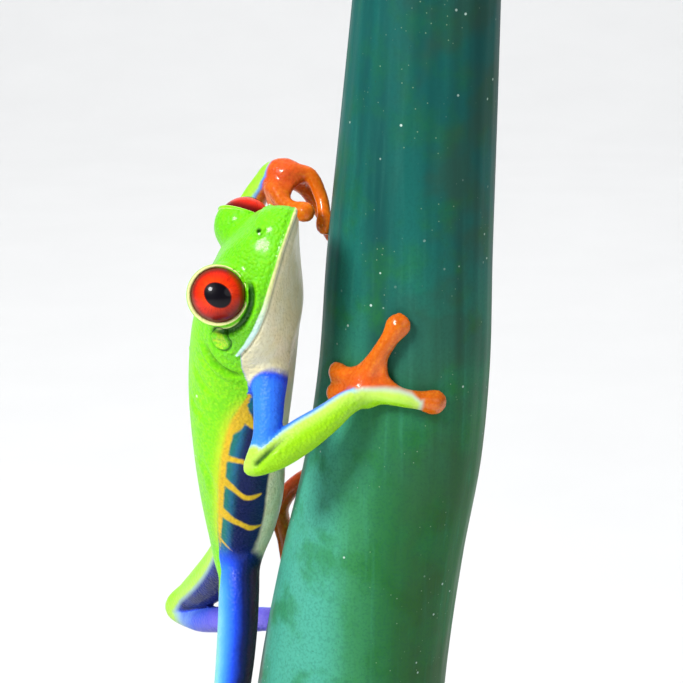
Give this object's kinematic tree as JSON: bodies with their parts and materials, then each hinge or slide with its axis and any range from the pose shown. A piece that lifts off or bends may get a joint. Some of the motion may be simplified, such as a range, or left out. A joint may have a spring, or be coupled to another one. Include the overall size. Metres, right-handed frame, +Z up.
{
  "type": "red-eyed tree frog",
  "caption": "Slender tree frog with large red eyes and round toe pads, climbing a cut plant stem held by a rod on a round flat base.",
  "frame": {"origin": "middle of the base's underside", "axes": "+Z up along the stem; the frog climbs up it with its belly towards +X, its back towards -X and its right side towards -Y"},
  "size_m": [0.088, 0.088, 0.1515],
  "materials": {
    "skin_green": "moist skin, lime green, satin to glossy",
    "skin_blue": "moist skin, blue, satin to glossy",
    "skin_orange": "moist skin, orange, satin to glossy",
    "eye_red": "wet and clear over a red iris with a dark upright pupil",
    "stem": "smooth living plant stem, blue-green, waxy, faintly streaked",
    "stand_base": "turned and stained black, satin",
    "stand_rod": "bright drawn rod"
  },
  "bodies": {
    "root": {"head": "skin_green", "trunk": "skin_green", "eye_L": "eye_red", "eye_R": "eye_red", "tympanum_L": "skin_green", "tympanum_R": "skin_green", "upper_arm_L": "skin_blue", "upper_arm_R": "skin_blue", "forearm_L": "skin_green", "forearm_R": "skin_green", "hand_L": "skin_orange", "hand_R": "skin_orange", "finger_1_L": "skin_orange", "finger_2_L": "skin_orange", "finger_3_L": "skin_orange", "finger_4_L": "skin_orange", "finger_1_R": "skin_orange", "finger_2_R": "skin_orange", "finger_3_R": "skin_orange", "finger_4_R": "skin_orange", "thigh_L": "skin_blue", "thigh_R": "skin_blue", "shank_L": "skin_green", "shank_R": "skin_green", "tarsus_L": "skin_blue", "tarsus_R": "skin_blue", "foot_L": "skin_orange", "foot_R": "skin_orange", "toe_1_L": "skin_orange", "toe_2_L": "skin_orange", "toe_3_L": "skin_orange", "toe_4_L": "skin_orange", "toe_5_L": "skin_orange", "toe_1_R": "skin_orange", "toe_2_R": "skin_orange", "toe_3_R": "skin_orange", "toe_4_R": "skin_orange", "toe_5_R": "skin_orange", "stem": "stem", "stand_base": "stand_base", "stand_rod": "stand_rod"}
  },
  "joints": []
}
